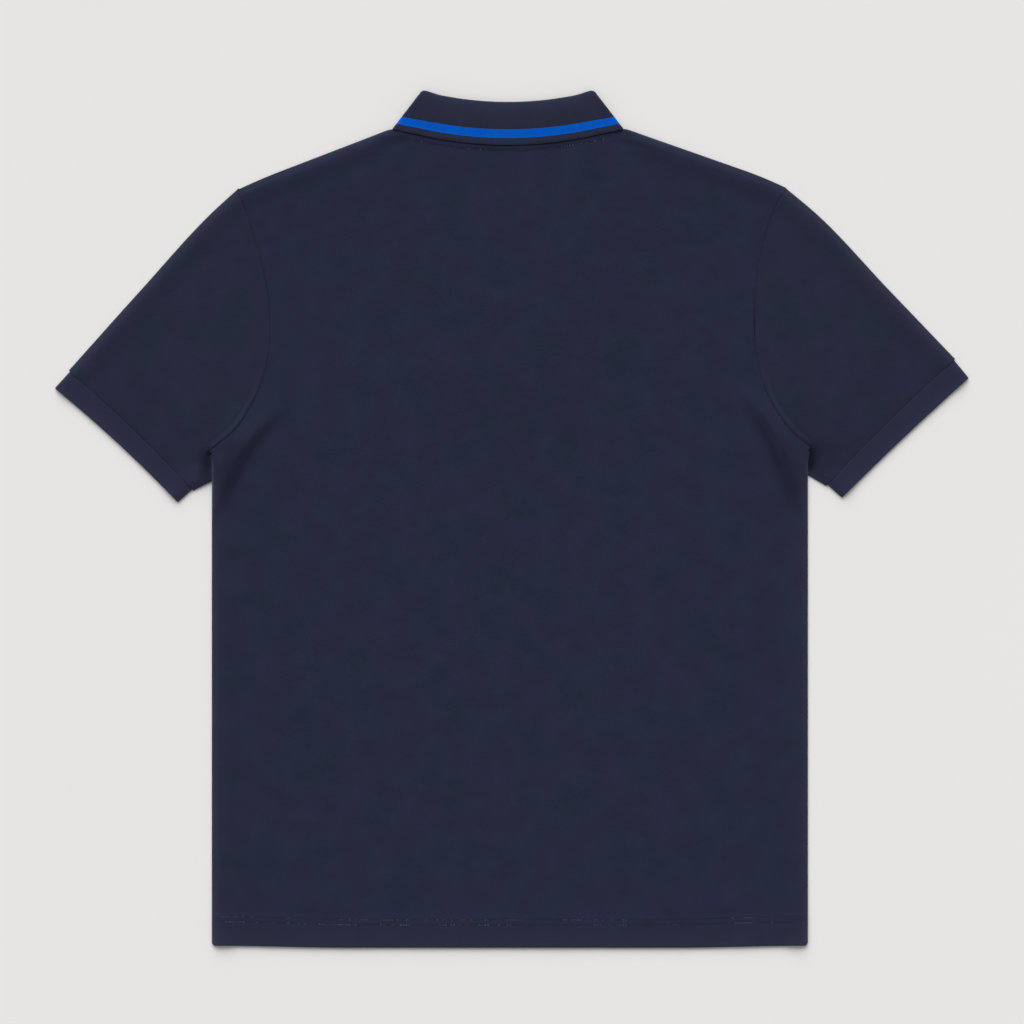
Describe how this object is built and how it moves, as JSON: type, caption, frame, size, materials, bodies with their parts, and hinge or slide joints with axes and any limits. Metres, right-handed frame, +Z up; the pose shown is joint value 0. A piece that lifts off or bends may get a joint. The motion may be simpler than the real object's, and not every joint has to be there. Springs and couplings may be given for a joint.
{
  "type": "polo shirt",
  "caption": "Short-sleeved pique polo shirt laid flat on its front, with a flat-knit collar that has a tipping stripe, banded sleeves, and a buttoned placket on the hidden front.",
  "frame": {"origin": "centre of the bounding box in X and Y, at the underside of the front panel", "axes": "+X from the wearer's left sleeve to the right one, +Y from the hem to the collar, +Z up, away from the surface that the front lies on"},
  "size_m": [0.8434, 0.7911, 0.0092],
  "materials": {
    "pique": "matt cotton pique knit, navy",
    "flat_knit": "matt flat-knit rib, navy, with a royal blue stripe near the collar's edge",
    "button_resin": "satin resin, dark navy"
  },
  "bodies": {
    "root": {"back_panel": "pique", "front_panel": "pique", "sleeve_left": "pique", "sleeve_right": "pique", "sleeve_band_left": "flat_knit", "sleeve_band_right": "flat_knit", "collar": "flat_knit", "placket_upper": "pique", "placket_under": "pique", "button_1": "button_resin", "button_2": "button_resin", "button_3": "button_resin"}
  },
  "joints": []
}
